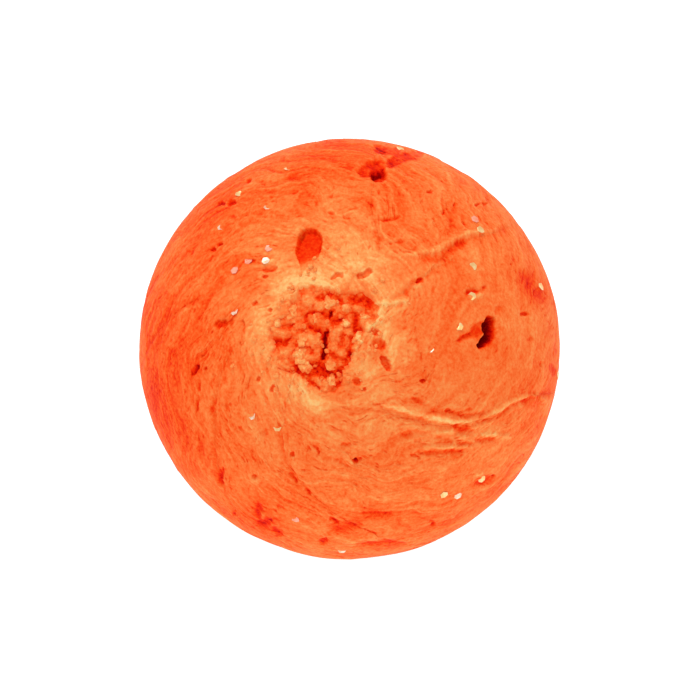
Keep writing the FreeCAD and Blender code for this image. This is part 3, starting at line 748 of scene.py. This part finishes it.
def seam_profile(away, strength, tucked):
    """Height near a seam: a fold on top has a rounded lip over the crease, a tucked one slopes down to it."""
    crease = 0.02 + 0.08 * strength
    if tucked:
        return -crease * np.exp(-(away / 0.50) ** 2)
    return 0.20 * strength * np.exp(-((away - 0.50) / 0.32) ** 2) - crease * np.exp(-(away / 0.24) ** 2)


core_gap = 0.02           # so that a fold's inside doesn't coincide with the core
usual_tone, inside_tone = 0.54, 0.25
inside_columns = 8        # points across a fold's inside
wall = np.array([0.35, 0.7])      # the rings of a fold's side walls, as shares of its thickness


def round_the_section(angle):
    """Carries the angles on from a fold's outer face: down one wall, back along the inside, up the other."""
    first, last = angle[:, [0]], angle[:, [-1]]
    inner = last + (first - last) * np.linspace(0, 1, inside_columns)
    down, rise = np.repeat(last, len(wall), 1), np.repeat(first, len(wall), 1)
    return np.concatenate([angle, down, inner, rise], axis=1)


names = list(seam_after)
outer_pieces = []
rows, columns = 330, 250
for number, name in enumerate(names):
    before, after = names[number - 1], name
    back = 360 if number == 0 else 0
    share = np.linspace(0, 1, rows)[:, None] ** 1.25 + np.zeros(columns)
    t = np.linspace(0, 1, columns) + np.zeros((rows, 1))
    polar = 12 + 106 * share
    # The seams, the crater's lip and the skin's edge depend on each other, and settle in a few rounds
    for _ in range(4):
        start, end = seam_clock(before, polar) - back, seam_clock(after, polar)
        start = np.where(start > end, start - 360, start)
        clock = start + (end - start) * t
        lip, skin = crater_edge(clock), skin_edge(clock)
        polar = lip - 5.0 + (skin - lip + 5.0) * share
    flat_polar, flat_clock = polar.ravel(), clock.ravel()
    towards = direction(flat_polar, flat_clock)
    height, tone = kneaded(towards, flat_polar, flat_clock, 1000)
    mark_height, mark_tone, strands_left = front_marks(towards)
    height = strands_left * height + mark_height
    tone = strands_left * tone + mark_tone + usual_tone
    spots = towards * ball_radius
    # Seams are smeared over on the ball's outline, as the front is seen, and plain again behind it
    shown = np.clip(np.abs(towards @ front - 0.05) / 0.35, 0.05, 1)
    outside = ((polar - lip) * math.pi / 180 * ball_radius).ravel()
    rough = cauliflower(spots, 31) - usual_nodule
    ragged = np.exp(-np.clip(outside, 0, None) / 1.1) * np.clip(0.7 + 0.9 * noise(spots / 2.2, 81), 0, 1.3)
    height += 0.62 * rough * ragged + 0.05 * np.exp(-((outside - 1.0) / 0.8) ** 2)
    # Inside the crater's outline the fold turns down, under the crumb bed
    height -= np.where(outside < 0, 3.0 * (1 - np.exp(-(outside / 1.1) ** 2)), 0)
    # painted light on the nodules' tops by the lip, painted shade between them and where the fold turns down
    # into the crater
    tone += 0.55 * rough * ragged - 0.20 * np.clip(-outside / 1.2, 0, 1)
    # Paste thumbed thin round the crater dries paler, most of all to its upper left and right
    pale = np.exp(-((outside - 0.9) / 2.3) ** 2) * np.clip(0.75 + 0.6 * noise(spots / 2.6, 83), 0.1, 1.3)
    tone += 0.17 * pale * (0.75 + 0.25 * np.cos(np.radians(flat_clock - 130)))
    for seam, away in ((before, (clock - start).ravel()), (after, (end - clock).ravel())):
        distance = away * np.sin(np.radians(flat_polar)) * math.pi / 180 * ball_radius * 0.8
        vary = noise_along(flat_polar / 9, 90 + names.index(seam))
        strength = seam_strength[seam] * np.clip(0.65 + 0.9 * vary, 0.05, 1)
        profile = seam_profile(distance, strength, name in tucked_folds)
        profile *= np.clip((flat_polar - 20) / 8, 0, 1) * shown
        height += profile
        # painted light on a seam's lip and painted shade along its crease
        tone += 0.40 * profile - 0.22 * strength * shown * np.exp(-(distance / 0.26) ** 2)
    to_skin = ((skin - polar) * math.pi / 180 * ball_radius).ravel()
    height -= 0.12 * np.exp(-(to_skin / 0.5) ** 2)
    pit_height, pit_tone = far_marks(towards)
    height, tone = height + pit_height, tone + pit_tone
    radial = (ball_radius + height).reshape(rows, columns)
    fall = radial[:, [-1]] - (radial[:, [-1]] - core_radius) * wall
    rise = radial[:, [0]] - (radial[:, [0]] - core_radius) * wall[::-1]
    inner = np.full((rows, inside_columns), core_radius + core_gap)
    radii = np.concatenate([radial, fall, inner, rise], axis=1)
    clocks, polars = round_the_section(clock), round_the_section(polar)
    width = radii.shape[1]
    points = standing(middle + direction(polars, clocks) * radii[..., None]).reshape(-1, 3)
    tones = np.full((rows, width), inside_tone)
    tones[:, :columns] = tone.reshape(rows, columns)
    quads = grid_faces(rows, width, True)
    faces = quads + [list(range(width))[::-1], [(rows - 1) * width + i for i in range(width)]]
    smooth = np.tile(np.arange(width) < columns - 1, rows - 1)
    fold = add_piece(name + "_paste", points, [face[::-1] for face in faces], kneaded_paste,
                     np.append(smooth, [False, False]), tone=tones.ravel())
    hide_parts(name)
    outer_pieces.append(fold)


# Underside skin: the smooth far side, which lay in the palm while the other side was gathered.
# It is the same kneaded paste in one unbroken cap, pressed flat where the ball stands.
rows, columns, inside_rows = 150, 560, 12
share = np.linspace(0, 1, rows + 1)[1:, None][::-1] ** 0.9
clock = np.linspace(0, 360, columns, endpoint=False) + np.zeros((rows, 1))
skin = skin_edge(clock)
polar = 180 - (180 - skin) * share
flat_polar, flat_clock = polar.ravel(), clock.ravel()
towards = direction(flat_polar, flat_clock)
spots = towards * ball_radius
height, tone = kneaded(towards, flat_polar, np.degrees(np.unwrap(np.radians(clock), axis=1)).ravel(), 2000)
palm = 0.22 * noise(spots / 9, 2101) + 0.12 * noise(spots / 4, 2102)
height = 0.6 * height + palm
tone = 0.52 + 0.8 * tone + 0.25 * palm
to_folds = ((polar - skin) * math.pi / 180 * ball_radius).ravel()
height -= 0.12 * np.exp(-(to_folds / 0.5) ** 2)
pit_height, pit_tone = far_marks(towards)
height, tone = height + pit_height, tone + pit_tone
outer = standing(middle + towards * (ball_radius + height)[:, None]).reshape(rows, columns, 3)
inside_share = np.linspace(1, 0, inside_rows)[:, None]
inner_polar = 180 - (180 - skin[:1]) * np.maximum(inside_share, 0.001)
inner = middle + direction(inner_polar, clock[:inside_rows]) * (core_radius + core_gap)
points = np.concatenate([outer[::-1], inner]).reshape(-1, 3)
all_rows = rows + inside_rows
faces = grid_faces(all_rows, columns, True)
faces += [list(range(columns))[::-1], [(all_rows - 1) * columns + i for i in range(columns)]]
smooth = np.append(np.repeat(np.arange(all_rows - 1) < rows - 1, columns), [True, False])
tones = np.full((all_rows, columns), inside_tone)
tones[:rows] = tone.reshape(rows, columns)[::-1]
underside_skin = add_piece("underside_skin_paste", points, faces, kneaded_paste, smooth, tone=tones.ravel())
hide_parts("underside_skin")
outer_pieces.append(underside_skin)


# Crumbs outside the crater: bits that stuck to the folds round the lip, and some at the bottom of pits.
# The paste's own oil holds them, so each is sunk by about half.
def surface_radius(directions):
    """How far out the shown paste lies in each direction, from the nearest point of the folds and skin."""
    found, best = np.full(len(directions), ball_radius), np.full(len(directions), -1.0)
    for piece in outer_pieces:
        flat = np.empty(len(piece.data.vertices) * 3, np.float32)
        piece.data.vertices.foreach_get("co", flat)
        out = flat.reshape(-1, 3).astype(float) / mm - middle
        reach = np.linalg.norm(out, axis=1)
        out, reach = out[reach > ball_radius - 3.2], reach[reach > ball_radius - 3.2]
        for i, way in enumerate(directions):
            match = (out @ way) / reach
            nearest = np.argmax(match)
            if match[nearest] > best[i]:
                best[i], found[i] = match[nearest], reach[nearest]
    return found


# More of them lie on the crater's left and right than elsewhere
turn = np.concatenate([draw.uniform(100, 260, 24), draw.uniform(-60, 60, 14), draw.uniform(0, 360, 8)])
count = len(turn)
polar = crater_edge(turn) + draw.gamma(1.6, 2.0, count) + 0.3
outwards = direction(polar, turn)
radii = draw.uniform(0.10, 0.24, count)
rim_points, faces, bumps = knobbly_balls(
    middle + outwards * (surface_radius(outwards) + 0.25 * radii)[:, None], radii,
    draw.uniform(0.7, 1.2, (count, 3)), (10, 16), 44)
# painted light on the nodules' tops, painted shade in the creases between them
rim_crumbs = add_piece("rim_crumbs_paste", rim_points, faces, crumbly_paste,
                       tone=0.70 + 0.42 * (bumps - usual_nodule))
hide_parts("rim_crumbs")

for name, spots_in_pit, seed in (
    ("right_pit_crumbs", [(13.5, 2.3, 1.9), (13.2, 1.5, 2.0), (12.75, 0.7, 2.0), (12.3, 1.5, 0.95)], 45),
    ("top_pit_crumbs", [(2.6, 16.6, 1.5), (1.9, 17.1, 0.9)], 46),
):
    spot = np.array(spots_in_pit)
    outwards = front_direction(spot[:, 0], spot[:, 1])
    pit_points, faces, bumps = knobbly_balls(
        middle + outwards * (ball_radius - spot[:, 2])[:, None], np.full(len(spot), 0.34),
        draw.uniform(0.8, 1.2, (len(spot), 3)), (16, 24), seed)
    # the crumbs are dark with the painted shade of the pit they lie in, darker still between their nodules
    pit_crumbs = add_piece(name + "_paste", pit_points, faces, crumbly_paste, tone=0.12 + 0.3 * (bumps - 0.3))
    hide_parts(name)


# Glitter: six-sided flakes punched from thin metallised polyester film, stirred into the paste.
# Each lies in the surface with one side lifted, and is a little cupped from the punch.
flake_across_flats = 0.72
flake_thickness = 0.035
# Flakes on the front, as polar, clock, tilt, spin and how deep they are sunk
gold_flakes = [
    (58.8, 45.1, 8, 20, 0.02), (77.9, 23.9, 12, 5, 0.0), (61.4, -47.5, 6, 40, 0.0),
    (48.3, 35.0, 30, 80, 0.06), (37.9, 12.5, 34, 30, 0.06), (57.5, 130.7, 28, 10, 0.06),
    (68.5, -36.2, 25, 25, 0.10), (59.1, 113.3, 30, 70, 0.15), (29.1, -112.2, 35, 15, 0.15),
    (77.4, 81.5, 20, 50, 0.08), (43.8, 24.3, 36, 55, 0.10),
]
silver_flakes = [
    (27.8, 136.2, 14, 0, 0.02), (44.7, 123.4, 28, 35, 0.17), (27.2, 171.5, 30, 60, 0.10),
    (49.7, 142.1, 25, 15, 0.16), (30.9, -127.4, 30, 45, 0.15), (66.2, -44.6, 20, 10, 0.08),
    (76.6, -83.1, 35, 0, 0.16), (29.4, 1.0, 40, 20, 0.26),
]
pink_flakes = [
    (30.9, 131.0, 12, 5, 0.08), (32.3, 143.4, 16, 30, 0.07), (33.6, 151.4, 8, 50, 0.02),
    (60.8, 49.0, 10, 15, 0.05), (59.1, -95.8, 14, 35, 0.09),
]
far_flake_count = 24
far_flake_first_polar, far_flake_last_polar = 92.0, 168.0
golden_angle = 180.0 * (3.0 - math.sqrt(5.0))


def film_material(name, colour, metallic, roughness):
    """Metallised polyester film: a thin mirror under clear coloured lacquer, slightly crazed from bending."""
    material = bpy.data.materials.new(name)
    material.use_nodes = True
    tree = material.node_tree
    shader = tree.nodes["Principled BSDF"]
    place = add(tree, "TexCoord").outputs["Object"]
    patch = add(tree, "TexNoise", inputs={
        "Vector": place, "Scale": 1 / (0.5 * mm), "Detail": 2.0,
    }).outputs["Fac"]
    tint = ramp(tree, patch, [(0.35, colour[0]), (0.65, colour[1])])
    tree.links.new(tint.outputs["Color"], shader.inputs["Base Color"])
    bump = add(tree, "Bump", inputs={"Height": patch, "Distance": 0.01 * mm, "Strength": 0.6})
    tree.links.new(bump.outputs["Normal"], shader.inputs["Normal"])
    shader.inputs["Metallic"].default_value = metallic
    shader.inputs["Roughness"].default_value = roughness
    shader.inputs["Coat Weight"].default_value = 0.25
    shader.inputs["Coat Roughness"].default_value = 0.1
    return material


def far_flakes(first):
    """Every third flake of an even spiral over the far side, as in the CAD part."""
    step = (far_flake_last_polar - far_flake_first_polar) / far_flake_count
    found = []
    for i in range(first, far_flake_count, 3):
        polar = far_flake_first_polar + step * (i + 0.5)
        found.append((polar, golden_angle * i, 10 + 7 * (i % 4), 25 * i, 0.02 + 0.03 * (i % 4)))
    return found


for name, spots_on_front, first, colours, metallic, roughness in (
    ("gold_flakes", gold_flakes, 0, ("f4bd74", "ffdc9c"), 0.7, 0.35),
    ("silver_flakes", silver_flakes, 1, ("f4bc90", "fce4cc"), 0.6, 0.35),
    ("pink_flakes", pink_flakes, 2, ("fc8c66", "ffaa8c"), 0.2, 0.40),
):
    polar, clock, tilt, spin, sunk = np.array(spots_on_front + far_flakes(first), float).T
    outwards = direction(polar, clock)
    kept = middle[2] + ball_radius * outwards[:, 2] > flake_across_flats
    outwards, tilt, spin, sunk = outwards[kept], np.radians(tilt[kept]), np.radians(spin[kept]), sunk[kept]
    corner = flake_across_flats / math.sqrt(3)
    # Rings of six corners: lower face, widest edge, upper face, and half way in on the upper face
    ring_sizes = np.array([0.93, 1.0, 0.93, 0.5]) * corner
    ring_heights = np.array([-0.5, 0.0, 0.5, 0.5]) * flake_thickness
    turn = np.radians(60 * np.arange(6))
    outline = np.stack([ring_sizes[:, None] * np.cos(turn), ring_sizes[:, None] * np.sin(turn),
                        ring_heights[:, None] + np.zeros(6)], axis=-1).reshape(-1, 3)
    outline = np.concatenate([outline, [[0, 0, ring_heights[0]], [0, 0, ring_heights[-1]]]])
    outline[:, 2] += 0.16 * (outline[:, 0] ** 2 - 0.4 * outline[:, 1] ** 2) / corner
    level = np.cross([0.0, 0.0, 1.0], outwards)
    level /= np.linalg.norm(level, axis=1, keepdims=True)
    rise = np.cross(outwards, level)
    across = np.cos(spin)[:, None] * level + np.sin(spin)[:, None] * rise
    along = np.cross(outwards, across)
    facing = np.cos(tilt)[:, None] * outwards + np.sin(tilt)[:, None] * along
    along = np.cross(facing, across)
    rim = outwards[:, None] + 0.8 * corner / ball_radius * (
        np.cos(turn)[:, None] * across[:, None] + np.sin(turn)[:, None] * along[:, None])
    highest = surface_radius(rim.reshape(-1, 3)).reshape(-1, 6).max(axis=1)
    seat = middle + outwards * (0.5 * surface_radius(outwards) + 0.5 * highest + 0.08 - sunk)[:, None]
    points = (seat[:, None] + outline[None, :, :1] * across[:, None] + outline[None, :, 1:2] * along[:, None]
              + outline[None, :, 2:] * facing[:, None])
    one = grid_faces(4, 6, True)
    one += [[24, (i + 1) % 6, i] for i in range(6)] + [[25, 18 + i, 18 + (i + 1) % 6] for i in range(6)]
    faces = [[26 * i + corner_index for corner_index in face] for i in range(len(outwards)) for face in one]
    finish = film_material(name.replace("_flakes", "_metallised_film"), colours, metallic, roughness)
    flakes = add_piece(name + "_film", points.reshape(-1, 3), faces, finish, False)
    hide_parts(name)


# Table: a sheet of matt opal acrylic over a light box, so that no shadow shows on it.
# The light is a wide soft box overhead and a bright white room.
side = 3.0
table_mesh = bpy.data.meshes.new("table")
corners = [(x * side, y * side, 0) for x, y in ((-1, -1), (1, -1), (1, 1), (-1, 1))]
table_mesh.from_pydata(corners, [], [(0, 1, 2, 3)])
table = bpy.data.objects.new("table", table_mesh)
bpy.context.scene.collection.objects.link(table)
acrylic = bpy.data.materials.new("matt_opal_acrylic")
acrylic.use_nodes = True
shader = acrylic.node_tree.nodes["Principled BSDF"]
speckle = add(acrylic.node_tree, "TexNoise", inputs={
    "Vector": add(acrylic.node_tree, "TexCoord").outputs["Object"], "Scale": 400.0}).outputs["Fac"]
white = ramp(acrylic.node_tree, speckle, [(0.0, "909090"), (1.0, "9c9c9c")]).outputs["Color"]
acrylic.node_tree.links.new(white, shader.inputs["Base Color"])
shader.inputs["Roughness"].default_value = 0.9
shader.inputs["Specular IOR Level"].default_value = 0.1
shader.inputs["Emission Color"].default_value = (1, 1, 1, 1)
shader.inputs["Emission Strength"].default_value = 0.98
table_mesh.materials.append(acrylic)

world = bpy.data.worlds.new("white_room")
world.use_nodes = True
world.node_tree.nodes["Background"].inputs["Color"].default_value = (1, 1, 1, 1)
world.node_tree.nodes["Background"].inputs["Strength"].default_value = 0.80
bpy.context.scene.world = world


def soft_box(name, place, size, power):
    """A square light that looks at the ball."""
    light = bpy.data.lights.new(name, "AREA")
    light.shape, light.size, light.energy = "SQUARE", size, power
    made = bpy.data.objects.new(name, light)
    bpy.context.scene.collection.objects.link(made)
    made.location = place
    away = made.location - core.matrix_world.translation
    away.z -= middle[2] * mm
    made.rotation_euler = away.to_track_quat("Z", "Y").to_euler()


soft_box("overhead_box", (-0.06, 0.10, 0.42), 0.16, 0.50)

# Camera: in front of the ball and 45 degrees up, far back, so that the ball is seen with little perspective
camera_data = bpy.data.cameras.new("camera")
camera_data.lens = 1000
camera_data.sensor_width = 36
disc_share = 0.6          # the ball's width as a share of the frame's
half_view = math.atan(disc_share / 2 * camera_data.sensor_width / camera_data.lens)
distance = ball_radius * mm / math.sin(half_view)
camera = bpy.data.objects.new("camera", camera_data)
bpy.context.scene.collection.objects.link(camera)
camera.location = middle * mm + front * distance
camera.rotation_euler = (math.radians(45), 0, 0)
camera_data.shift_x, camera_data.shift_y = 0.0007, -0.0014
camera_data.clip_end = 20
bpy.context.scene.camera = camera
bpy.context.scene.view_settings.view_transform = "Standard"
